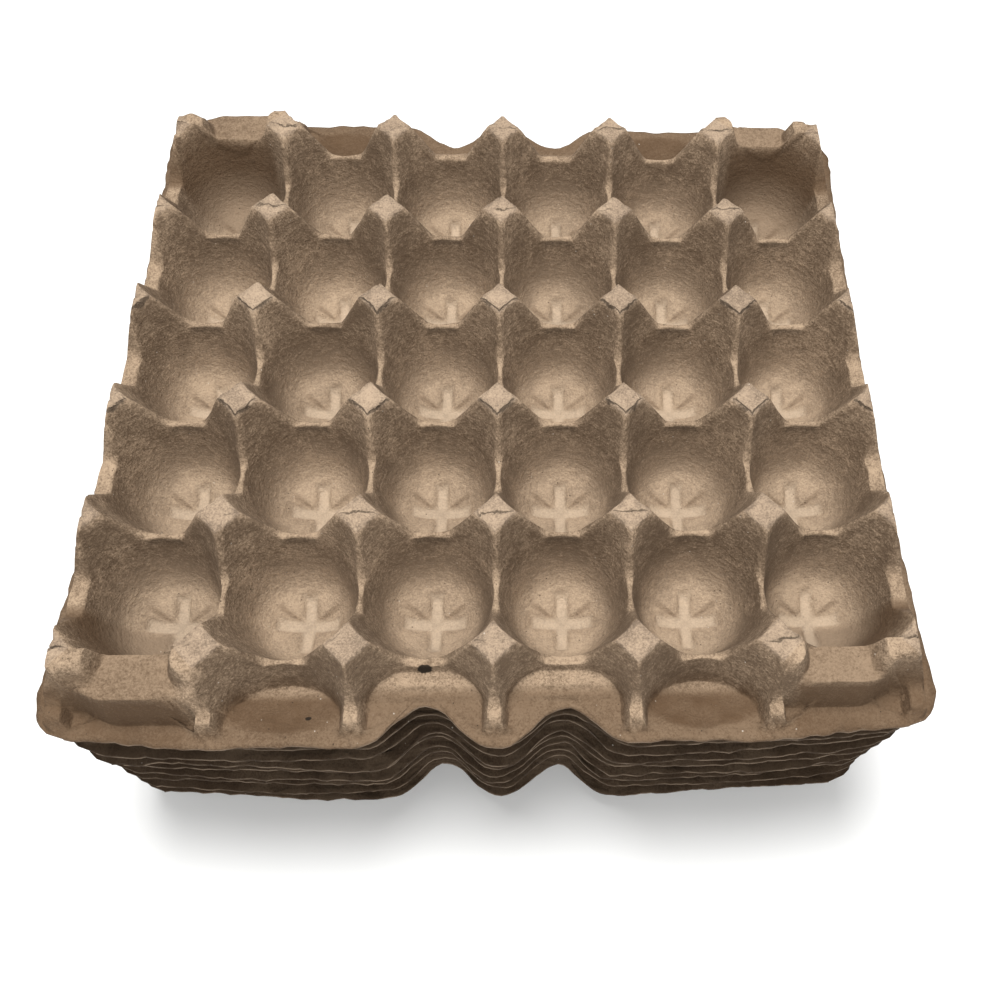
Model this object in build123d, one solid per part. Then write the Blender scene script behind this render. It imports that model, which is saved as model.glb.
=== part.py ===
from build123d import *
import math
import os

# A stack of moulded pulp egg trays.  X runs along the six columns of cups, Y along the five
# rows, +Z is up, and the origin is on the floor under the middle of the stack.  Millimetres.

# ---- driving dimensions of one tray ----
COLUMNS = 6                 # cups along X
ROWS = 5                    # cups along Y
PITCH = 47.5                # from one cup to the next, both ways
WALL = 2.4                  # thickness of the pulp
TRAY_HEIGHT = 52.0          # from the feet to the flat tops of the posts
SADDLE_DROP = 18.0          # post tops down to the flat strip between two posts
FLANGE_DROP = 25.0          # post tops down to the rim around the tray
SHELF_DROP = 9.0            # post tops down to the shelf in front of a corner cup
DRAFT = 14.5                # lean of the steepest walls, in degrees from upright

# ---- cups ----
RIDGE = 2.5                 # width of the flat strip between two cups
STRIP = 13.5                # length of that strip
POST_HALF = 7.8             # centre of a post top to each of its four points
POST_BLUNT = 0.6            # how much each point is cut short
BOWL_FLOOR = 2.0            # radius of the flat floor of a bowl
CROSS_SPAN = 23.4           # tip to tip of the cross pressed into a bowl
CROSS_WIDTH = 4.6           # width of its arms
CROSS_DEPTH = 1.6           # depth of the arms below the bowl floor

# ---- border ----
SIDE_BORDER = 12.0          # cup grid to the rim's edge, near the ends of the long sides
SIDE_WAIST = 3.5            # how far those sides bow inwards at mid length
SIDE_LEAN = 19.0            # lean of the side skirts, in degrees from upright
SKIRT_INSET = 1.5           # top edge of a side skirt inside the cup grid
END_BORDER = 28.5           # cup grid to the rim's edge at front and back
CORNER_SETBACK = 4.2        # how much less that is beside the corners
CORNER_ROUND = 13.0         # size of the rounded corners
RIB_START = 15.6            # cup grid to the upper end of a rib's flat foot
RIB_END = 21.5              # cup grid to its lower end
RIB_HALF = 2.4              # half the width of the ribs beside a corner shelf
SHELF_END = 14.0            # cup grid to the edge of a corner shelf
SHELF_LENGTH = 27.0         # length of a corner shelf along X
SHELF_OFFSET = 2.2          # middle of a corner cup to the middle of its shelf
PANEL_RISE = 4.0            # height of the sloping panels above the rim
PANEL_START = 2.8           # cup grid to the upper edge of a panel
PANEL_END = 11.0            # cup grid to the crease at its foot
DISH_RADIUS = 40.0          # radius of the arc where a dish meets the rim
DISH_DEPTH = 8.0            # depth of that bowl below the rim
DISH_END = 23.5             # cup grid to the outer edge of a dish
FINGER_DEPTH = 13.3         # depth of the finger notches in the rim
NOTCH_SPREAD = 13.3         # half the width of a notch where it starts to round off
NOTCH_SHOULDER = 0.35       # how deep it is there, as a share of its full depth
CORNER_SAG = 0.28           # how far the middle of a rounded corner lies in, as a share of its size

# ---- stack ----
TRAYS = 9
NEST_CLEARANCE = 0.3        # air between the walls of nested trays

# ---- sizes that follow ----
SADDLE = TRAY_HEIGHT - SADDLE_DROP
FLANGE = TRAY_HEIGHT - FLANGE_DROP
SHELF = TRAY_HEIGHT - SHELF_DROP
BOWL = WALL + CROSS_DEPTH
HALF = PITCH / 2
SIDE = COLUMNS * HALF
END = ROWS * HALF
MARGIN = 6.0                # how far cutting shapes run past what they cut
ABOVE = TRAY_HEIGHT + MARGIN
BELOW = -MARGIN
CUP_RADIUS = HALF - RIDGE / 2
MOUTH_RADIUS = math.hypot(HALF, HALF - POST_HALF)
MOUTH_LEAN = math.degrees(math.atan2(MOUTH_RADIUS - CUP_RADIUS, SADDLE_DROP))
RIB_LEAN = math.degrees(math.atan2(RIB_START - POST_HALF, SADDLE_DROP))
STEEPEST = min(DRAFT, MOUTH_LEAN, SIDE_LEAN, RIB_LEAN)
NEST = (WALL + NEST_CLEARANCE) / math.sin(math.radians(STEEPEST))


def tan(degrees):
    return math.tan(math.radians(degrees))


def cos(degrees):
    return math.cos(math.radians(degrees))


def wall(foot, height, lean, z, skin):
    """Where a leaning wall stands at height z: through (foot, height), wider below, skin inside."""
    return foot + (height - z) * tan(lean) - skin / cos(lean)


def along_x(points, low, high):
    """A prism over low <= x <= high whose section is given as (y, z) points."""
    section = Polyline(*[(0, y, z) for y, z in points], close=True)
    return Pos(low, 0, 0) * extrude(make_face(section), amount=high - low, dir=(1, 0, 0))


def along_y(points, low, high):
    """A prism over low <= y <= high whose section is given as (x, z) points."""
    section = Polyline(*[(x, 0, z) for x, z in points], close=True)
    return Pos(0, low, 0) * extrude(make_face(section), amount=high - low, dir=(0, 1, 0))


def both_ends(shape):
    return [shape, shape.mirror(Plane.XZ)]


def four_corners(shape):
    return both_ends(shape) + both_ends(shape.mirror(Plane.YZ))


# Every shape below is made twice: with skin 0 it follows the side that holds the eggs, and with
# skin WALL it follows the underside, the thickness of the pulp further in.  A tray is what lies
# between the two.

def cup_knee(skin):
    """Height where the wall of a cup changes its lean."""
    knee_lean = (DRAFT + MOUTH_LEAN) / 2
    return SADDLE - skin * math.sin(math.radians(knee_lean)) / cos((MOUTH_LEAN - DRAFT) / 2)


def cup_radius(z, skin):
    """Radius of a cup's wall at height z, above its bowl."""
    lean = MOUTH_LEAN if z > cup_knee(skin) else DRAFT
    return CUP_RADIUS + (z - SADDLE) * tan(lean) + skin / cos(lean)


def cup(skin):
    """The hollow of one cup: a flat floor, a round bowl, then two lengths of cone."""
    turn = 1 / cos(DRAFT) - tan(DRAFT)
    curve = (CUP_RADIUS - BOWL_FLOOR - (SADDLE - BOWL) * tan(DRAFT)) / turn + skin
    floor = BOWL - skin
    rim_r = BOWL_FLOOR + curve * cos(DRAFT)
    rim_z = floor + curve * (1 - math.sin(math.radians(DRAFT)))
    knee = cup_knee(skin)
    profile = [
        Line((0, 0, floor), (BOWL_FLOOR, 0, floor)),
        TangentArc((BOWL_FLOOR, 0, floor), (rim_r, 0, rim_z), tangent=(1, 0, 0)),
        Polyline(
            (rim_r, 0, rim_z),
            (cup_radius(knee, skin), 0, knee),
            (cup_radius(ABOVE, skin), 0, ABOVE),
            (0, 0, ABOVE),
            (0, 0, floor),
        ),
    ]
    return revolve(make_face(profile), Axis.Z, 360)


def cross(skin):
    """The cross pressed into the floor of a bowl, which is also the foot that it stands on."""
    foot = WALL - skin
    top = BOWL + CROSS_SPAN / 3
    size = (CROSS_SPAN + 2 * skin, CROSS_WIDTH + 2 * skin)
    arm = Pos(0, 0, (foot + top) / 2) * Box(size[0], size[1], top - foot)
    return arm + arm.rotate(Axis.Z, 90)


def notch_section(skin):
    """The trapezoid between two posts, as (along, z) points about its middle."""
    lean = math.degrees(math.atan2(HALF - POST_HALF + POST_BLUNT - STRIP / 2, SADDLE_DROP))
    low = STRIP / 2 + skin / cos(lean) - skin * tan(lean)
    high = STRIP / 2 + (ABOVE - SADDLE) * tan(lean) + skin / cos(lean)
    return [(-low, SADDLE - skin), (low, SADDLE - skin), (high, ABOVE), (-high, ABOVE)]


def notches(skin):
    """Every notch through a ridge between two posts, and through the rims of the long sides."""
    section = notch_section(skin)
    reach = RIDGE + WALL
    cuts = []
    for row in range(ROWS):
        y = (row - (ROWS - 1) / 2) * PITCH
        moved = [(y + along, z) for along, z in section]
        for column in range(1, COLUMNS):
            x = column * PITCH - SIDE
            cuts.append(along_x(moved, x - reach, x + reach))
        cuts.append(along_x(moved, SIDE - reach, SIDE + PITCH))
        cuts.append(along_x(moved, -SIDE - PITCH, -SIDE + reach))
    for column in range(COLUMNS):
        x = column * PITCH - SIDE + HALF
        moved = [(x + along, z) for along, z in section]
        for row in range(1, ROWS):
            y = row * PITCH - END
            cuts.append(along_y(moved, y - reach, y + reach))
        if 0 < column < COLUMNS - 1:
            cuts.append(along_y(moved, END - reach, END + reach))
            cuts.append(along_y(moved, -END - reach, -END + reach))
    return cuts


def border_cone(skin, low):
    """The cup wall that carries on beyond the last posts, above the height low."""
    knee = cup_knee(skin)
    profile = Polyline(
        (0, 0, low),
        (cup_radius(low, skin), 0, low),
        (cup_radius(knee, skin), 0, knee),
        (cup_radius(ABOVE, skin), 0, ABOVE),
        (0, 0, ABOVE),
        close=True,
    )
    return Pos(0, END + HALF, 0) * revolve(make_face(profile), Axis.Z, 360)


def panel_cut(skin):
    """The half cup in front of the two middle cups: its floor is a panel sloping to the rim."""
    slope = math.degrees(math.atan2(PANEL_RISE, PANEL_END - PANEL_START))
    level = FLANGE - skin
    crease = END + PANEL_END - skin * (1 / cos(slope) - 1) / tan(slope)
    back = END - WALL
    peak = level + (crease - back) * tan(slope)
    panel = along_x([(crease, level), (back, peak), (back, level - 1), (crease, level - 1)], -PITCH, PITCH)
    return border_cone(skin, level) - panel


def dish_cut(skin):
    """The half cup in front of the next cups: its floor is a shallow dish that ends at the rim."""
    ball_radius = (DISH_RADIUS ** 2 + DISH_DEPTH ** 2) / (2 * DISH_DEPTH)
    ball_centre = (0, END + DISH_END - DISH_RADIUS, FLANGE - DISH_DEPTH + ball_radius)
    depth = DISH_DEPTH + 2 * WALL
    under_rim = Pos(0, END + HALF, FLANGE - skin - depth) * Box(2 * PITCH, 2 * PITCH, 2 * depth)
    floor = under_rim - Pos(*ball_centre) * Sphere(ball_radius + skin)
    return border_cone(skin, FLANGE - depth) - floor


def shelf_cut(skin):
    """The room above the shelf in front of a corner cup."""
    middle = SIDE - HALF + SHELF_OFFSET
    level = SHELF - skin
    low = SHELF_LENGTH / 2 - skin * tan(DRAFT) + skin / cos(DRAFT)
    high = low + (ABOVE - level) * tan(DRAFT)
    points = [(middle - low, level), (middle + low, level), (middle + high, ABOVE), (middle - high, ABOVE)]
    return along_y(points, END - RIB_START, END + PITCH)


def step_face(z, skin):
    return wall(END + SHELF_END, SHELF, DRAFT, z, skin)


def step_cut(skin):
    """The room in front of the wall below a corner shelf, between the two ribs beside it."""
    middle = SIDE - HALF
    level = FLANGE - skin
    low = HALF - RIB_HALF - (SADDLE - level) * tan(DRAFT) + skin / cos(DRAFT)
    high = low + (ABOVE - level) * tan(DRAFT)
    points = [(middle - low, level), (middle + low, level), (middle + high, ABOVE), (middle - high, ABOVE)]
    room = along_y(points, END, END + PITCH)
    far = END + PITCH
    front = [(step_face(level, skin), level), (step_face(ABOVE, skin), ABOVE), (far, ABOVE), (far, level)]
    return room & along_x(front, middle - PITCH, middle + PITCH)


def corner_block(skin):
    """What stands under a corner shelf, and reaches a rib on its inner side."""
    low = BELOW - skin
    shelf = SHELF - skin
    inner = SIDE - PITCH
    inner_low = 2 * inner - wall(inner, SHELF, DRAFT, low, skin)
    inner_top = 2 * inner - wall(inner, SHELF, DRAFT, shelf, skin)
    back = END - PITCH
    outer = SIDE + HALF
    front = [(back, low), (step_face(low, skin), low), (step_face(shelf, skin), shelf), (back, shelf)]
    side = [(inner_low, low), (outer, low), (outer, shelf), (inner_top, shelf)]
    return along_x(front, inner - PITCH, outer) & along_y(side, back, END + PITCH)


def core(skin):
    """Everything that stands above the rim before the cups are sunk into it."""
    top = TRAY_HEIGHT - skin
    foot = SADDLE - skin
    skirt = SIDE - SKIRT_INSET
    x_top = wall(skirt, TRAY_HEIGHT, SIDE_LEAN, top, skin)
    x_low = wall(skirt, TRAY_HEIGHT, SIDE_LEAN, BELOW - skin, skin)
    low = BELOW - skin
    long_way = along_y([(-x_low, low), (x_low, low), (x_top, top), (-x_top, top)], -END - PITCH, END + PITCH)
    chain = [
        (wall(END + POST_HALF, TRAY_HEIGHT, RIB_LEAN, top, skin), top),
        (wall(END + RIB_START, SADDLE, RIB_LEAN, foot, skin), foot),
        (wall(END + RIB_END, SADDLE, DRAFT, foot, skin), foot),
        (wall(END + RIB_END, SADDLE, DRAFT, low, skin), low),
    ]
    ends = along_x(chain + [(-y, z) for y, z in reversed(chain)], -SIDE - PITCH, SIDE + PITCH)
    return long_way & (ends + four_corners(corner_block(skin)))


def form(skin):
    """Everything below one face of a tray."""
    slab_height = FLANGE - skin - (BELOW - skin)
    slab = Pos(0, 0, BELOW - skin + slab_height / 2) * Box(2 * SIDE + PITCH, 2 * END + 2 * PITCH, slab_height)
    one_cup = cup(skin) + cross(skin)
    cups = [
        Pos(column * PITCH - SIDE + HALF, row * PITCH - END + HALF, 0) * one_cup
        for column in range(COLUMNS)
        for row in range(ROWS)
    ]
    cuts = cups + notches(skin)
    for column in range(1, COLUMNS - 1):
        x = column * PITCH - SIDE + HALF
        middle = abs(x) < PITCH
        cuts += both_ends(Pos(x, 0, 0) * (panel_cut(skin) if middle else dish_cut(skin)))
    cuts += four_corners(shelf_cut(skin))
    cuts += four_corners(step_cut(skin))
    return (core(skin) + slab) - cuts


def end_edge(x):
    """How far the rim reaches at the front and back, without the finger notches."""
    along = min(1, max(0, (abs(x) / PITCH - 1) / (COLUMNS / 2 - 2)))
    return END + END_BORDER - CORNER_SETBACK * along ** 2


def outline():
    """The rim's edge seen from above: bowed long sides, round corners and two finger notches."""
    wide = SIDE + SIDE_BORDER
    end = end_edge(SIDE)
    bend = end - CORNER_ROUND
    shallow = NOTCH_SHOULDER * FINGER_DEPTH
    knots = [(x, end_edge(x)) for x in (SIDE, SIDE - PITCH, SIDE - 1.5 * PITCH, PITCH)]
    knots.append((HALF + NOTCH_SPREAD, end_edge(PITCH) - shallow))
    knots.append((HALF, end_edge(HALF) - FINGER_DEPTH))
    knots.append((HALF - NOTCH_SPREAD, end_edge(0) - shallow))
    front = knots + [(0, end_edge(0))] + [(-x, y) for x, y in reversed(knots)]
    tip = (wide - CORNER_SAG * CORNER_ROUND, end - CORNER_SAG * CORNER_ROUND)
    edges = [Spline(*front), Spline(*[(x, -y) for x, y in front])]
    for side in (1, -1):
        edges.append(ThreePointArc((side * wide, bend), (side * (wide - SIDE_WAIST), 0), (side * wide, -bend)))
        for y in (1, -1):
            round_end = (side * wide, y * bend)
            edges.append(ThreePointArc((side * SIDE, y * end), (side * tip[0], y * tip[1]), round_end))
    return make_face(edges)


def tray():
    blank = extrude(Pos(0, 0, BELOW) * outline(), amount=ABOVE - BELOW)
    return (form(0) & blank) - form(WALL)


os.makedirs("parts", exist_ok=True)
one_tray = tray()
for number in range(1, TRAYS + 1):
    placed = Pos(0, 0, (number - 1) * NEST) * one_tray
    export_step(placed, f"parts/egg_tray_{number}.step", write_pcurves=False)
print("nesting pitch", round(NEST, 3), "stack height", round(TRAY_HEIGHT + (TRAYS - 1) * NEST, 2))
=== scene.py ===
import bmesh
import bpy
import math
import numpy as np
from mathutils import Matrix, Vector


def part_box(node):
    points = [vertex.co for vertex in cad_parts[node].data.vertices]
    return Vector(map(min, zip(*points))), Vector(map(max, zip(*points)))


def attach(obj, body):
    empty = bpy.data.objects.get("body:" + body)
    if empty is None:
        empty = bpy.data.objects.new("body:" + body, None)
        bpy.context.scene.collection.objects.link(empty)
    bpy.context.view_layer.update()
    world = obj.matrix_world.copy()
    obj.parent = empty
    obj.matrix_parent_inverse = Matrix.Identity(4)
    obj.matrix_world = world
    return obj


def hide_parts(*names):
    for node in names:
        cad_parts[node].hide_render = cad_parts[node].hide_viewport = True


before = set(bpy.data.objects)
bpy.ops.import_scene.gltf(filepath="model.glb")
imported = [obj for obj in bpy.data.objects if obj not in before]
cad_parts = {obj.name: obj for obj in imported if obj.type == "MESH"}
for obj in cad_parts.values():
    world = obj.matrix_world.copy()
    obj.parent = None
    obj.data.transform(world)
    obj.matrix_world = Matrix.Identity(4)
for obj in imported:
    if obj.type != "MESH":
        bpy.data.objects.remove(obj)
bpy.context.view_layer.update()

# ---- sizes of one tray, in millimetres, as in the solid model ----
PITCH, HALF = 47.5, 23.75
SIDE, END = 3 * PITCH, 2.5 * PITCH
WALL = 2.4
TOP, SHELF, SADDLE, FLANGE = 52.0, 43.0, 34.0, 27.0
CUP_RADIUS, BOWL_FLOOR, BOWL = 23.0, 2.0, 4.0
STRIP, POST_HALF = 13.5, 7.8
DRAFT = math.radians(14.5)
MOUTH = math.atan2(math.hypot(HALF, HALF - POST_HALF) - CUP_RADIUS, TOP - SADDLE)
NOTCH = math.atan2(HALF - POST_HALF + 0.6 - STRIP / 2, TOP - SADDLE)
RIB = math.atan2(15.6 - POST_HALF, TOP - SADDLE)
SKIRT = math.radians(19.0)
ROUNDING = 0.55             # how softly faces run into each other

# ---- where the edge of one cup's square is divided ----
HALF_EDGE = np.array([0, 2.25, 4.5, 6.75, 9, 11.3, 13.6, 15.95, 18.5, 21.1, 23.75])
EDGE = np.concatenate([-HALF_EDGE[:0:-1], HALF_EDGE])
TRAYS = 9


# ---------------------------------------------------------------- shape of the pulp

def soft_min(a, b, r=ROUNDING):
    """The lower of two heights, rounded over r where they cross."""
    h = np.clip(0.5 + 0.5 * (b - a) / r, 0, 1)
    return b * (1 - h) + a * h - r * h * (1 - h)


def soft_max(a, b, r=ROUNDING):
    return -soft_min(-a, -b, r)


def ease(t):
    """0 below t = 0, 1 above t = 1, and a smooth S between."""
    t = np.clip(t, 0, 1)
    return t * t * (3 - 2 * t)


def ripple(x, y, size, seed, waves=7):
    """Smooth unevenness between about -1 and 1: cosines of about one size in every direction."""
    rng = np.random.default_rng(seed)
    turn = rng.uniform(0, 2 * math.pi, waves)
    phase = rng.uniform(0, 2 * math.pi, waves)
    rate = 2 * math.pi / (size * rng.uniform(0.6, 1.6, waves))
    total = 0
    for k in range(waves):
        total = total + np.cos((x * math.cos(turn[k]) + y * math.sin(turn[k])) * rate[k] + phase[k])
    return total / math.sqrt(waves * 1.5)


def lean(distance, foot, height, angle, skin):
    """Height of a wall that passes foot at that height and falls away outwards, skin further in."""
    return height - (distance - foot + skin / math.cos(angle)) / math.tan(angle)


def cone(r, skin):
    """Height of a cup's wall at radius r: steep up to the ridges, then wider."""
    steep = SADDLE + (r - CUP_RADIUS - skin / math.cos(DRAFT)) / math.tan(DRAFT)
    wide = SADDLE + (r - CUP_RADIUS - skin / math.cos(MOUTH)) / math.tan(MOUTH)
    return soft_min(steep, wide, 1.2)


def bowl(dx, dy, skin):
    """A cup: flat floor with a sunk cross, a quarter round, then the cone."""
    r = np.hypot(dx, dy)
    turn = 1 / math.cos(DRAFT) - math.tan(DRAFT)
    curve = (CUP_RADIUS - BOWL_FLOOR - (SADDLE - BOWL) * math.tan(DRAFT)) / turn + skin
    out = np.clip(r - BOWL_FLOOR, 0, None)
    arc = BOWL - skin + curve - np.sqrt(np.clip(curve ** 2 - out ** 2, 0, None))
    z = np.where(out < curve * math.cos(DRAFT), arc, cone(r, skin))
    wide, long = 2.3 + skin, 11.7 + skin
    arm_x = ease((wide + 0.7 - abs(dy)) / 1.4) * ease((long + 0.8 - abs(dx)) / 1.8)
    arm_y = ease((wide + 0.7 - abs(dx)) / 1.4) * ease((long + 0.8 - abs(dy)) / 1.8)
    arm = np.maximum(arm_x, arm_y)
    # four petals between the arms, each ending in a small step on the side of the long way
    angle = np.degrees(np.arctan2(dy, dx + 1e-9))
    petal = ease((angle - 31) / 7) * ease((r - 4.0) / 2.5) * ease((14.5 - r) / 4)
    sunk = np.maximum(WALL - skin - z, -1.35)
    return z + 0.95 * petal * (1 - arm) + sunk * arm


def notch(d, skin):
    """The gap between two posts, at d from its middle: a flat strip, then a slope each way."""
    low = STRIP / 2 + skin / math.cos(NOTCH) - skin * math.tan(NOTCH)
    return soft_max(SADDLE - skin + 0 * d, SADDLE - skin + (d - low) / math.tan(NOTCH))


def island(ax, ay, x_mid, x_flat, y_low, y_high, corner, skin):
    """A flat-topped lump on a corner shelf: a rounded rectangle whose sides lean out."""
    dx = np.maximum(abs(ax - x_mid) - x_flat, 0)
    dy = np.maximum(np.maximum(y_low - ay, ay - y_high), 0)
    out = np.hypot(dx, dy) - corner
    return TOP - skin - np.clip(out + skin, 0, None) * 2.6


def face(x, y, skin):
    """Height of a tray's upper face (skin 0) or underside (skin WALL): whichever cut is lowest."""
    ax, ay = abs(x), abs(y)
    right = x > 0
    column = np.clip(np.floor(ax / PITCH), 0, 2)
    row = np.clip(np.round(ay / PITCH), 0, 2)
    dx = abs(ax - (column + 0.5) * PITCH)
    dy = abs(ay - row * PITCH)
    level = FLANGE - skin + 0 * ax
    # lumps on the corner shelves: the tongue of an end post, and the block in the corner
    tongue = island(ax, ay, 2 * PITCH, 1.3, END - 1.5, END + 3.5, 6.2, skin)
    block = island(ax, ay, 2.86 * PITCH, 4.0, 2.34 * PITCH, 2.62 * PITCH, 1.6, skin)
    block = block - np.where(right, 0, 1.2 + 1.5 * ripple(ax, ay, 9, 77))
    on_shelf = soft_max(SHELF - skin + 0 * ax, soft_max(tongue, block, 0.5), 0.8)
    # ribs from the end posts down to the rim
    slope = soft_max(lean(ay, END + 15.6, SADDLE, RIB, skin), SADDLE - skin + 0 * ay)
    chain = soft_min(slope, lean(ay, END + 21.5, SADDLE, DRAFT, skin))
    rib = soft_min(chain, SADDLE + 4.0 - (abs(ax - 2 * PITCH) - 1.5) * 3.6)
    tip = soft_min(SADDLE - 1 - skin + 0 * ay, lean(ay, END + 18.5, SADDLE, DRAFT, skin))
    tip = soft_min(tip, SADDLE + 4.0 - (abs(ax - 144.6) - 1.2) * 3.6)
    # corner: shelf, the wall below its edge, and the two ribs beside it
    shelf_edge = np.where(right, 2.76, 2.815) * PITCH - 4.5 * ease((ax / PITCH - 2.62) / 0.3)
    step = lean(ay, shelf_edge, SHELF, DRAFT, skin)
    corner = soft_max(soft_min(on_shelf, step), soft_max(rib, tip))
    ends = np.where(column == 2, corner, soft_max(chain, tongue))
    stands = np.where(ay > END, ends, TOP - skin)
    stands = soft_min(stands, TOP - skin + 0 * ay, 0.4)
    stands = soft_min(stands, lean(ax, SIDE - 1.5, TOP, SKIRT, skin))
    stands = soft_max(stands, level)
    # inside the grid of cups
    across = np.where((column == 2) & (ay > END - HALF), on_shelf, notch(dx, skin))
    inside = soft_min(bowl(dx, dy, skin), soft_min(notch(dy, skin), across))
    # beyond it, at the front and back
    r = np.hypot(dx, ay - END - HALF)
    blunt = (dx ** 4 + (ay - END - HALF - 2.4) ** 4) ** 0.25 * 0.963
    lower = ease((SADDLE + 5 - cone(r, skin)) / 9) * (column == 0)
    wall = cone(r + (blunt - r) * lower, skin)
    foot = ay - END - 11.0
    panel = level + np.clip(-foot, 0, 14) * 0.49
    panel = panel + 0.8 * np.exp(-(foot / 0.9) ** 2) - 0.5 * np.exp(-((foot - 1.9) / 0.9) ** 2)
    panel = panel + 0.45 * np.exp(-((foot + 3.4) / 0.8) ** 2)
    away = (ax - 1.5 * PITCH) ** 2 + (ay - END + 16.5) ** 2
    dish = FLANGE - 9.4 + 90 - np.sqrt(np.clip((90 + skin) ** 2 - away, 0, None))
    dish = soft_min(level, dish, 0.3)
    middle = soft_max(wall, np.where(column == 0, panel, dish), 1.2)
    beside = cone(np.hypot(ax - 1.5 * PITCH, ay - END - HALF), skin)
    outside = np.where(column == 2, soft_max(beside, level), soft_min(middle, notch(dx, skin)))
    ridge = np.round(ax / PITCH) * PITCH
    strip = soft_min(chain, SADDLE + 3.0 - skin - (abs(ax - ridge) - 1.2) * 3.0, 0.5)
    strip = np.where((ay > END + 9) & (ridge < SIDE - 1), strip, -50)
    return soft_max(soft_min(stands, np.where(ay > END, outside, inside), 0.7), strip, 0.6)


# ---------------------------------------------------------------- outline of the rim

def end_reach(x, back, tray):
    """How far the rim reaches at the front or back: an arc, two finger notches, a frayed edge."""
    along = np.clip((abs(x) / PITCH - 1) / 2, 0, 1)
    finger = (0.5 + 0.5 * np.cos(2 * math.pi * (abs(x) - HALF) / PITCH)) ** 1.15
    finger = np.where(abs(x) < PITCH, finger, 0)
    fray = 0.35 * ripple(x, 0, 11, 20 * tray + back) + 0.16 * ripple(x, 0, 3.6, 20 * tray + back + 5)
    wander = 0.7 * ripple(x, 0, 70, 20 * tray + back + 9)
    return END + 27.4 - 4.2 * along ** 2 - 13.3 * finger + np.clip(fray + wander, -1.6, 1.0)


def side_reach(y, right, tray):
    """How far the rim reaches at the sides: bowed inwards, with round corners and a frayed edge."""
    ends = np.where(y > 0, end_reach(right * SIDE, 2, tray), end_reach(right * SIDE, 1, tray))
    bend = ends - 13.0
    bow = 3.5 * (1 - (y / 130.0) ** 2)
    fray = 0.35 * ripple(0, y, 11, 20 * tray + 12 + right) + 0.16 * ripple(0, y, 3.6, 20 * tray + 15 + right)
    wide = 11.2 - np.clip(bow, 0, None) + np.clip(fray, -1.2, 0.7)
    q = np.clip((abs(y) - bend) / 13.0, 0, 1)
    return SIDE + wide * np.sqrt(1 - q * q)


# ---------------------------------------------------------------- mesh of one tray

def divide(start, stop, rings, skin):
    """Points on the face along straight lines seen from above, from start to stop, closest where
    it climbs or bends: each line is cut into equal shares of its length plus its turning."""
    t = np.linspace(0, 1, 260)[:, None]
    x = start[0] + (stop[0] - start[0]) * t
    y = start[1] + (stop[1] - start[1]) * t
    z = face(x, y, skin)
    run = np.hypot(np.diff(x, axis=0), np.diff(y, axis=0)) + 1e-7
    rise = np.diff(z, axis=0)
    turn = abs(np.diff(np.arctan2(rise, run), axis=0))
    weight = np.hypot(run, rise)
    weight[1:] += 2.0 * turn
    weight[:-1] += 2.0 * turn
    weight += 0.02 * weight.sum(axis=0) / len(weight)
    total = np.concatenate([np.zeros((1, x.shape[1])), np.cumsum(weight, axis=0)])
    total = total / total[-1] + 2 * np.arange(x.shape[1])
    want = np.linspace(0, 1, rings + 1)[:, None] + 2 * np.arange(x.shape[1])
    share = np.interp(want.T.ravel(), total.T.ravel(), np.tile(t[:, 0], x.shape[1]))
    share = share.reshape(x.shape[1], rings + 1).T
    share[0], share[-1] = 0, 1
    px = start[0] + (stop[0] - start[0]) * share
    py = start[1] + (stop[1] - start[1]) * share
    return np.stack([px, py, face(px, py, skin)], axis=-1)


def quads(rings, rays, first, flip):
    """Corner numbers of a grid's quads."""
    at = first + np.arange(rings * rays).reshape(rings, rays)
    corners = np.stack([at[:-1, :-1], at[:-1, 1:], at[1:, 1:], at[1:, :-1]], axis=-1).reshape(-1, 4)
    return corners[:, ::-1] if flip else corners


def cup_loop(cx, cy):
    """Round the square of one cup, anticlockwise from its near left corner."""
    on = np.full(len(EDGE) - 1, HALF)
    x = np.concatenate([EDGE[:-1], on, -EDGE[:-1], -on, [-HALF]])
    y = np.concatenate([-on, EDGE[:-1], on, -EDGE[:-1], [-HALF]])
    return cx + x, cy + y


def end_loop(cx, back, tray, side_steps):
    """Round the piece of border in front of (or behind) one cup, out to the rim's edge."""
    s = 1 if back else -1
    key = 2 if back else 1
    up = np.linspace(0, 1, side_steps + 1)
    right = END + (end_reach(cx + HALF, key, tray) - END) * up
    left = END + (end_reach(cx - HALF, key, tray) - END) * up
    edge = EDGE[:-1]
    right_side, left_side = np.full(side_steps, cx + HALF), np.full(side_steps + 1, cx - HALF)
    x = np.concatenate([cx + edge, right_side, cx - edge, left_side])
    y = np.concatenate([np.full(len(edge), END), right[:-1], end_reach(cx - edge, key, tray), left[::-1]])
    return x, s * y


def side_lines(right, tray, side_steps):
    """Feet and ends of the lines that cross the rim at one long side, from front to back."""
    up = np.linspace(0, 1, side_steps + 1)
    front = -(END + (end_reach(right * SIDE, 1, tray) - END) * up[::-1])
    back = END + (end_reach(right * SIDE, 2, tray) - END) * up
    rows = [row * PITCH + EDGE[:-1] for row in (-2, -1, 0, 1, 2)]
    y = np.concatenate([front[:-1]] + rows + [back])
    return np.full(len(y), right * SIDE), y, right * side_reach(y, right, tray), y


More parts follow.
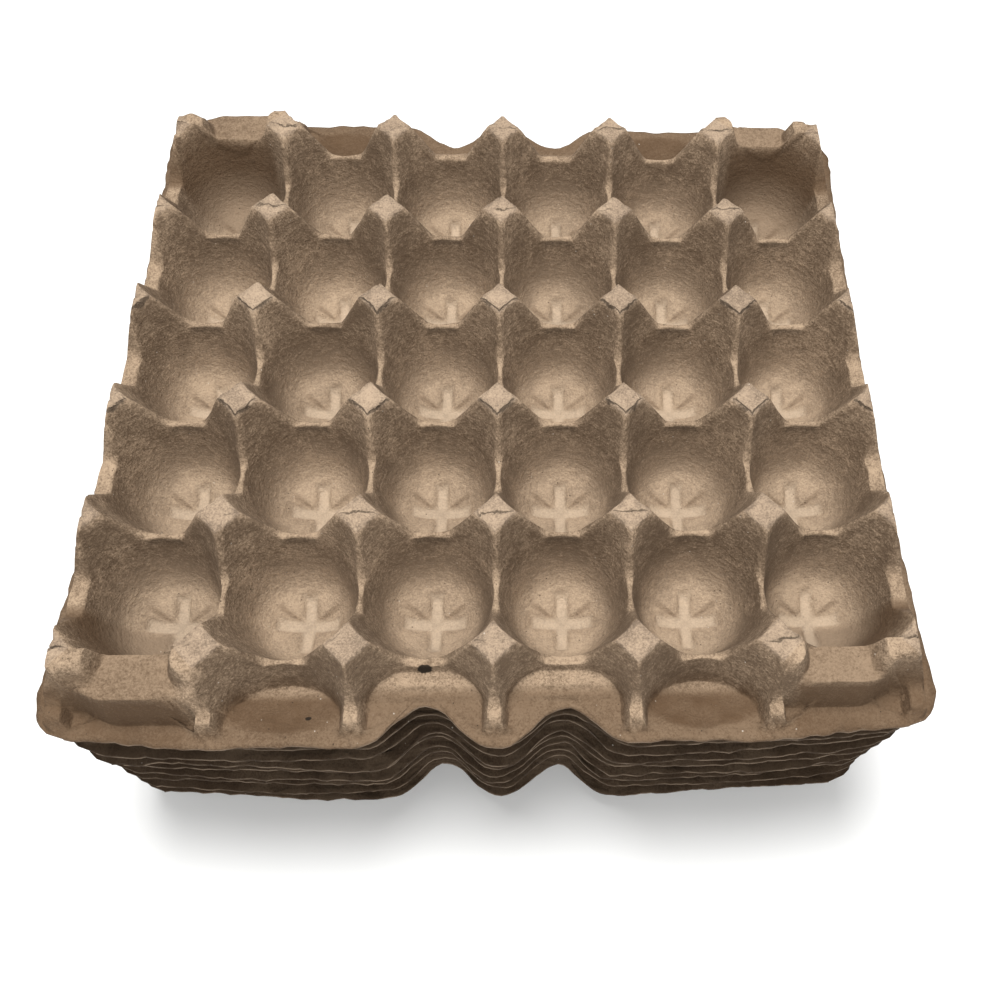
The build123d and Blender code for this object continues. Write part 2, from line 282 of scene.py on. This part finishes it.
def patches(tray, skin, rings, side_steps):
    """Every grid of one face of a tray, each with whether its quads have to be turned over."""
    grids = []
    cup_rings, end_rings, side_rings = rings
    for column in range(6):
        cx = column * PITCH - SIDE + HALF
        for row in range(5):
            cy = (row - 2) * PITCH
            x, y = cup_loop(cx, cy)
            pole = (np.full(len(x), cx), np.full(len(x), cy))
            grids.append((divide(pole, (x, y), cup_rings, skin), True))
        for back in (False, True):
            x, y = end_loop(cx, back, tray, side_steps)
            pole = (np.full(len(x), cx), np.full(len(x), (END + 8.0) * (1 if back else -1)))
            grids.append((divide(pole, (x, y), end_rings, skin), back))
    for right in (1, -1):
        x0, y0, x1, y1 = side_lines(right, tray, side_steps)
        grids.append((divide((x0, y0), (x1, y1), side_rings, skin), right > 0))
    return grids


def warp(points, tray):
    """Bends a whole tray: its rim rises and falls, and its faces are slightly uneven."""
    x, y, z = points[:, 0].copy(), points[:, 1].copy(), points[:, 2].copy()
    beyond = np.maximum(np.maximum(abs(x) - SIDE + 1, abs(y) - END - 8), 0)
    rim = ease(beyond / 14.0)
    depth = (TRAYS - tray) / (TRAYS - 1)
    size = 0.9 if tray == TRAYS else 2.8
    wave = 0.6 * ripple(x, y, 120, 300 + tray)
    wave = wave + 0.5 * ripple(x, y, 45, 330 + tray) + 0.25 * ripple(x, y, 18, 360 + tray)
    z = z + size * rim * wave - 8.2 * depth * rim * ease(-y / 60)
    # the corner of the second tray hangs out on the right
    z = z - 5.0 * rim * (tray == TRAYS - 1) * ease((x - 95) / 40) * ease((-y - 90) / 30)
    rng = np.random.default_rng(50 + tray)
    slip_x, slip_y, twist = rng.uniform(-1, 1, 3) * (0 if tray == TRAYS else 1)
    # the rims below the top one are pressed in, and lie a little askew
    inwards = 1 - 0.012 * rim * (tray < TRAYS)
    x, y = x * inwards - twist * 0.004 * rim * y, y * inwards + twist * 0.004 * rim * x
    x = x + rim * (0.5 * slip_x - 1.4 * depth + 1.2 * (tray == TRAYS - 1))
    y = y + 0.9 * rim * slip_y
    low = ease((TOP - z) / 12) * ease((z - 3.0) / 6)
    z = z + 0.35 * low * ripple(x, y, 11, 400 + tray)
    top = ease((z - TOP + 6) / 6)
    z = z - 0.5 * top * abs(ripple(x, y, 9, 420 + tray))
    return np.stack([x, y, z], axis=-1)


def darkening_and_dish_shade(flat):
    """How dark the pulp is: most in the dishes, where it is painted shade, much on the rim, a little on the
    corner shelves.
    """
    x, y, z = abs(flat[:, 0]), abs(flat[:, 1]), flat[:, 2]
    beyond = np.maximum(x - SIDE, y - END - 6)
    rim = ease(beyond / 5) * ease((SADDLE - 1 - z) / 5)
    shelf = ease((y - END + 22) / 4) * ease((x - 2 * PITCH - 4) / 5) * ease((TOP - 3 - z) / 3)
    step = ease((SHELF - 1.0 - z) / 2.5)
    # painted shade: the hollow dishes are darkened
    dish = ease((FLANGE - 0.1 - z) / 0.8) * (y > END + 3) * (x > PITCH) * (x < 2 * PITCH)
    return np.maximum(0.80 * rim, shelf * (0.5 + 0.45 * step)) + 0.25 * dish


def edge_band(upper, under, side_steps):
    """The torn edge of the pulp: three lines round the rim, the middle one slightly further out."""
    one_column = 7                    # grids of one column: five cups and two pieces of border
    first_side = 6 * one_column       # then come the two long sides
    along_end = slice(len(EDGE) - 1 + side_steps, 2 * (len(EDGE) - 1) + side_steps + 1)
    bands = []
    for k, (grid, flip) in enumerate(upper):
        is_side = k >= first_side
        if not is_side and k % one_column < 5:
            continue
        high, low = grid[-1], under[k][0][-1]
        if not is_side:
            high, low = high[along_end], low[along_end]
        middle = (high + low) / 2
        bulge = np.array([0.175, 0.0] if is_side else [0.0, 0.35])
        middle[:, :2] += np.sign(middle[:, :2]) * bulge
        bands.append((np.stack([high, middle, low]), flip, np.array([0.0, 1.0, 0.0])))
    return bands


def make_tray(number, name, fine):
    """One tray: its upper face, its underside, and the torn edge of the pulp round the rim."""
    upper_rings, under_rings = ((17, 18, 9), (7, 9, 5)) if fine else ((7, 14, 9), (5, 8, 5))
    side_steps = 12 if fine else 10
    upper = patches(number, 0.0, upper_rings, side_steps)
    under = patches(number, WALL, under_rings, side_steps)
    sheets = [(grid, flip, np.zeros(len(grid))) for grid, flip in upper]
    sheets += [(grid, not flip, np.zeros(len(grid))) for grid, flip in under]
    sheets += edge_band(upper, under, side_steps)
    points, corners, edge, count = [], [], [], 0
    for grid, flip, torn in sheets:
        rings, rays = grid.shape[:2]
        points.append(grid.reshape(-1, 3))
        corners.append(quads(rings, rays, count, flip))
        edge.append(np.repeat(torn, rays))
        count += rings * rays
    flat = np.concatenate(points)
    points = warp(flat, number)
    points[:, 2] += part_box(name)[0][2] * 1000
    mesh = bpy.data.meshes.new(name + "_pulp")
    mesh.from_pydata((points * 0.001).tolist(), [], np.concatenate(corners).tolist())
    for label, values in (("dark_and_dish_shade", darkening_and_dish_shade(flat)), ("torn_edge", np.concatenate(edge))):
        mesh.attributes.new(label, "FLOAT", "POINT").data.foreach_set("value", values.astype(np.float32))
    work = bmesh.new()
    work.from_mesh(mesh)
    bmesh.ops.remove_doubles(work, verts=work.verts, dist=2e-6)
    work.to_mesh(mesh)
    work.free()
    mesh.polygons.foreach_set("use_smooth", np.ones(len(mesh.polygons), bool))
    made = bpy.data.objects.new(name + "_pulp", mesh)
    bpy.context.scene.collection.objects.link(made)
    return made


# ---------------------------------------------------------------- materials

class Wire:
    """An output in a material's node tree. Arithmetic on it adds Math nodes."""

    def __init__(self, tree, socket=None):
        self.tree, self.socket = tree, socket

    def node(self, kind, settings, sockets, output=0):
        """Adds a node: first its settings, then the values or links of its sockets."""
        made = self.tree.nodes.new(kind)
        for name, value in settings.items():
            setattr(made, name, value)
        for name, value in sockets.items():
            if isinstance(value, Wire):
                self.tree.links.new(value.socket, made.inputs[name])
            else:
                made.inputs[name].default_value = value
        return Wire(self.tree, made.outputs[output] if made.outputs else None)

    def math(self, operation, *values):
        return self.node("ShaderNodeMath", {"operation": operation}, dict(enumerate(values)))

    def __add__(self, other):
        return self.math("ADD", self, other)

    def __sub__(self, other):
        return self.math("SUBTRACT", self, other)

    def __rsub__(self, other):
        return self.math("SUBTRACT", other, self)

    def __mul__(self, other):
        return self.math("MULTIPLY", self, other)

    def __truediv__(self, other):
        return self.math("DIVIDE", self, other)

    def __pow__(self, other):
        return self.math("POWER", self, other)

    __radd__ = __add__
    __rmul__ = __mul__

    def fraction(self):
        return self.math("FRACT", self)

    def absolute(self):
        return self.math("ABSOLUTE", self)

    def larger(self, other):
        return self.math("MAXIMUM", self, other)

    def bearing(self, across):
        """The angle of the direction that goes this far along and the other distance across."""
        return self.math("ARCTAN2", self, across)

    def ease(self, low, high):
        """0 below low, 1 above high, smooth between."""
        sockets = {"Value": self, "From Min": low, "From Max": high}
        return self.node("ShaderNodeMapRange", {"interpolation_type": "SMOOTHSTEP"}, sockets)


def noise(wire, place, size, detail, rough=0.55):
    """Cloudy noise whose blotches are about size millimetres wide."""
    sockets = {"Vector": place, "Scale": 1 / size, "Detail": detail, "Roughness": rough}
    return wire.node("ShaderNodeTexNoise", {}, sockets)


def cells(wire, place, size):
    """How far a point is from the nearest of many scattered ones, in shares of their spacing."""
    sockets = {"Vector": place, "Scale": 1 / size, "Randomness": 1.0}
    return wire.node("ShaderNodeTexVoronoi", {"feature": "F1"}, sockets)


def attribute(wire, name):
    """A number that the mesh keeps at each of its points."""
    return wire.node("ShaderNodeAttribute", {"attribute_name": name}, {}, "Fac")


def tint(wire, amount, below, above):
    """One colour where amount is 0, the other where it is 1."""
    return wire.node("ShaderNodeMix", {"data_type": "RGBA"}, {0: amount, 6: below, 7: above}, 2)


def pulp(name, shade, top_z, layers):
    """Grey-brown moulded paper: cloudy tone, fine grain, dark and pale specks, wrinkles, and painted light
    and shade.
    """
    material = bpy.data.materials.new(name)
    material.use_nodes = True
    tree = material.node_tree
    tree.nodes.clear()
    wire = Wire(tree)
    own = wire.node("ShaderNodeTexCoord", {}, {}, "Object")
    place = wire.node("ShaderNodeVectorMath", {"operation": "SCALE"}, {0: own, "Scale": 1000.0})
    east, north, upward = (wire.node("ShaderNodeSeparateXYZ", {}, {0: place}, axis) for axis in "XYZ")
    cloud = noise(wire, place, 34, 4)
    blotch = noise(wire, place, 9, 4)
    grain = noise(wire, place, 0.75, 3, 0.75)
    fibre = noise(wire, place, 2.2, 5, 0.65)
    # places within one cup, from its middle, and within one post, from the middle of its top
    across = (east / PITCH).fraction() * PITCH - HALF
    along = (north / PITCH + 0.5).fraction() * PITCH - HALF
    post_x = (east / PITCH + 0.5).fraction() * PITCH - HALF
    post_y = (north / PITCH).fraction() * PITCH - HALF
    radius = (across * across + along * along) ** 0.5
    angle = along.bearing(across)
    # wrinkles that run round each cup: noise stretched along the angle about the cup's middle
    round_cup = {"X": radius * 0.95, "Y": angle * 9.5, "Z": upward * 0.8}
    ring = noise(wire, wire.node("ShaderNodeCombineXYZ", {}, round_cup), 1 / 0.7, 4, 0.65)
    normal = wire.node("ShaderNodeNewGeometry", {}, {}, "Normal")
    facing = wire.node("ShaderNodeSeparateXYZ", {}, {0: normal}, "Z")
    tone = (cloud - 0.5) * 0.8 + (blotch - 0.5) * 0.8 + (grain - 0.5) * 1.8
    tone = tone + (fibre - 0.5) * 0.9 + (ring - 0.5) * 0.5
    # painted light: faces that turn upwards are painted lighter and steep walls darker
    tone = tone + 0.42 + (facing.ease(0.25, 1.0) - 0.5) * 0.28
    # layers in the stacked rims: noise stretched along the rim
    along_rim = {"X": east * 0.05, "Y": north * 0.05, "Z": upward * 0.9}
    layer = noise(wire, wire.node("ShaderNodeCombineXYZ", {}, along_rim), 1, 4, 0.6)
    tone = tone + (layer - 0.5) * layers
    # shade below 1 darkens these colours as painted shade, for the lower trays of the stack
    dark = tuple(c * shade for c in (0.128, 0.086, 0.054)) + (1,)
    pale = tuple(c * shade for c in (0.372, 0.270, 0.180)) + (1,)
    colour = tint(wire, tone.ease(0.0, 1.0), dark, pale)
    dark_and_shade_colour = tuple(c * shade for c in (0.090, 0.052, 0.027)) + (1,)
    # darker on the rim and corner shelves, and painted shade in the dishes
    colour = tint(wire, attribute(wire, "dark_and_dish_shade") * (0.62 + blotch * 0.45), colour, dark_and_shade_colour)
    torn = attribute(wire, "torn_edge").ease(0.1, 0.9) * blotch.ease(0.35, 0.65)
    colour = tint(wire, torn * 0.7, colour, (0.27, 0.20, 0.14, 1))
    # painted light: the bowls are painted paler, and their crosses paler still
    in_grid = 1 - north.absolute().ease(END - 3.0, END - 1.0)
    deep = (1 - upward.ease(top_z - 40.0, top_z - 20.0)) * in_grid
    colour = tint(wire, deep * 0.32, colour, (0.50, 0.385, 0.272, 1))
    side_arm = (1 - along.absolute().ease(1.6, 3.2)) * (1 - across.absolute().ease(10.6, 12.6))
    long_arm = (1 - across.absolute().ease(1.6, 3.2)) * (1 - along.absolute().ease(10.6, 12.6))
    cross = side_arm.larger(long_arm) * deep
    colour = tint(wire, cross * 0.26, colour, (0.66, 0.54, 0.41, 1))
    # painted shade: a dark line beside each side arm, where a petal of the bowl ends
    slant = along.bearing(across.absolute())
    petal = slant.ease(0.38, 0.50) * (1 - slant.ease(0.54, 0.70))
    petal = petal * radius.ease(4.5, 7.0) * (1 - radius.ease(11.0, 15.0))
    colour = tint(wire, petal * deep * 0.42, colour, (0.13, 0.085, 0.052, 1))
    # and painted shadow in the hollow under each strip between two posts
    strip_shadow = upward.ease(top_z - 23.0, top_z - 19.0) * (1 - upward.ease(top_z - 19.0, top_z - 18.2))
    strip_shadow = strip_shadow * (1 - across.absolute().ease(4.5, 8.0)) * along.ease(15.0, 19.0) * in_grid
    colour = tint(wire, strip_shadow * 0.5, colour, (0.05, 0.034, 0.022, 1))
    few = noise(wire, place, 3.3, 2)
    speck = (1 - cells(wire, place, 1 / 0.42).ease(0.07, 0.16)) * few.ease(0.56, 0.62)
    colour = tint(wire, speck * 0.8, colour, (0.03, 0.02, 0.013, 1))
    fleck = (1 - cells(wire, place, 1 / 0.3).ease(0.05, 0.12)) * few.ease(0.6, 0.66)
    colour = tint(wire, fleck * 0.6, colour, (0.62, 0.56, 0.48, 1))
    # post tops: painted paler as painted light, some crumpled along their two front edges, others cracked
    # straight across
    high = upward.ease(top_z - 5.0, top_z - 3.6) * (1 - upward.ease(top_z + 5.0, top_z + 6.0))
    out = post_x.absolute() + post_y.absolute()
    flat_top_light = high * (1 - out.ease(7.0, 8.2))
    colour = tint(wire, flat_top_light * 0.12, colour, (0.45, 0.37, 0.30, 1))
    wander = (blotch - 0.5) * 5.0 + (fibre - 0.5) * 2.4
    lip = (1 - (out + wander - 6.9).absolute().ease(0.1, 0.75)) * (1 - post_y.ease(-0.5, 0.8))
    middle_rows = 1 - north.absolute().ease(33.0, 36.0)
    bent = post_y + (blotch - 0.5) * 9.0 + (fibre - 0.5) * 2.0
    split = (1 - bent.absolute().ease(0.0, 0.55)) * (1 - post_x.absolute().ease(4.5, 7.5))
    crack = lip * middle_rows + split * (1 - middle_rows) * cloud.ease(0.46, 0.52)
    crack = crack * high
    colour = tint(wire, crack * 0.8, colour, (0.055, 0.038, 0.025, 1))
    # a small tear under the third strip at the front, and a spot in the dish to its left
    top_only = 1 - (upward - top_z).absolute().ease(60.0, 61.0)
    for x, y, wide, long in ((-HALF, -END - 2.6, 2.7, 1.1), (-1.33 * PITCH, -END - 17.0, 1.3, 0.8)):
        off_x, off_y = (east - x) / wide, (north - y) / long
        spot = 1 - ((off_x * off_x + off_y * off_y) ** 0.5 + (fibre - 0.5)).ease(0.75, 1.05)
        colour = tint(wire, spot * top_only, colour, (0.02, 0.014, 0.009, 1))
    height = grain * 0.8 + fibre * 1.25 + blotch * 1.0 + ring * 1.0 - crack * 2.4
    bump = wire.node("ShaderNodeBump", {}, {"Strength": 0.6, "Distance": 0.0009, "Height": height})
    finish = {"Base Color": colour, "Roughness": 0.93, "Specular IOR Level": 0.18, "Normal": bump}
    shader = wire.node("ShaderNodeBsdfPrincipled", {}, finish)
    wire.node("ShaderNodeOutputMaterial", {}, {"Surface": shader})
    return material


top_pulp = pulp("pulp_top", 1.0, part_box("egg_tray_9")[1][2] * 1000, 0.0)
# painted shade: the lower trays take a darker copy of the pulp
shaded_stack_pulp = pulp("pulp_stack_painted_shade", 0.42, -99.0, 2.4)
for number in range(1, TRAYS + 1):
    node_name = f"egg_tray_{number}"
    tray = make_tray(number, node_name, number == TRAYS)
    tray.data.materials.append(top_pulp if number == TRAYS else shaded_stack_pulp)
    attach(tray, "root")
    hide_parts(node_name)


# ---------------------------------------------------------------- floor, light and camera

def studio():
    """A pale floor, a large soft light above and behind, and a dim even surround."""
    floor_mesh = bpy.data.meshes.new("floor")
    reach = 6.0
    corners = [(-reach, -reach, 0), (reach, -reach, 0), (reach, reach, 0), (-reach, reach, 0)]
    floor_mesh.from_pydata(corners, [], [(0, 1, 2, 3)])
    floor = bpy.data.objects.new("floor", floor_mesh)
    bpy.context.scene.collection.objects.link(floor)
    paper = bpy.data.materials.new("floor_paper")
    paper.use_nodes = True
    paper.node_tree.nodes["Principled BSDF"].inputs["Base Color"].default_value = (0.82, 0.82, 0.81, 1)
    paper.node_tree.nodes["Principled BSDF"].inputs["Roughness"].default_value = 0.9
    floor.data.materials.append(paper)
    for name, place, aim, size, power in (
        ("lamp_above", (-0.05, 0.16, 1.45), (0, 0.0, 0.1), 0.6, 25.5),
        ("lamp_front", (0.05, -0.8, 0.95), (0, 0, 0.1), 0.6, 5.0),
    ):
        light = bpy.data.lights.new(name, "AREA")
        light.shape, light.size, light.energy = "DISK", size, power
        lamp = bpy.data.objects.new(name, light)
        lamp.location = place
        lamp.rotation_euler = (Vector(aim) - Vector(place)).to_track_quat("-Z", "Y").to_euler()
        bpy.context.scene.collection.objects.link(lamp)
    world = bpy.data.worlds.new("surround")
    world.use_nodes = True
    world.node_tree.nodes["Background"].inputs["Color"].default_value = (1, 1, 1, 1)
    world.node_tree.nodes["Background"].inputs["Strength"].default_value = 0.52
    bpy.context.scene.world = world


def point_camera():
    """Looks steeply down at the front of the stack, slightly from the right and slightly rolled."""
    pitch, roll, yaw = math.radians(62.16), math.radians(4.98), math.radians(-5.91)
    turn = Matrix.Rotation(yaw, 3, "Z")
    ahead = turn @ Vector((0, math.cos(pitch), -math.sin(pitch)))
    right = turn @ Vector((1, 0, 0))
    up = turn @ Vector((0, math.sin(pitch), math.cos(pitch)))
    rolled_right = right * math.cos(roll) + up * math.sin(roll)
    rolled_up = up * math.cos(roll) - right * math.sin(roll)
    lens = bpy.data.cameras.new("camera")
    lens.lens, lens.sensor_width = 34.39, 36.0
    lens.shift_x, lens.shift_y = -0.0836, 0.0
    lens.clip_start = 0.01
    camera = bpy.data.objects.new("camera", lens)
    axes = Matrix((rolled_right, rolled_up, -ahead)).transposed().to_4x4()
    camera.matrix_world = Matrix.Translation((0.01476, -0.22297, 0.43527)) @ axes
    bpy.context.scene.collection.objects.link(camera)
    bpy.context.scene.camera = camera


studio()
point_camera()
bpy.context.scene.view_settings.view_transform = "Standard"
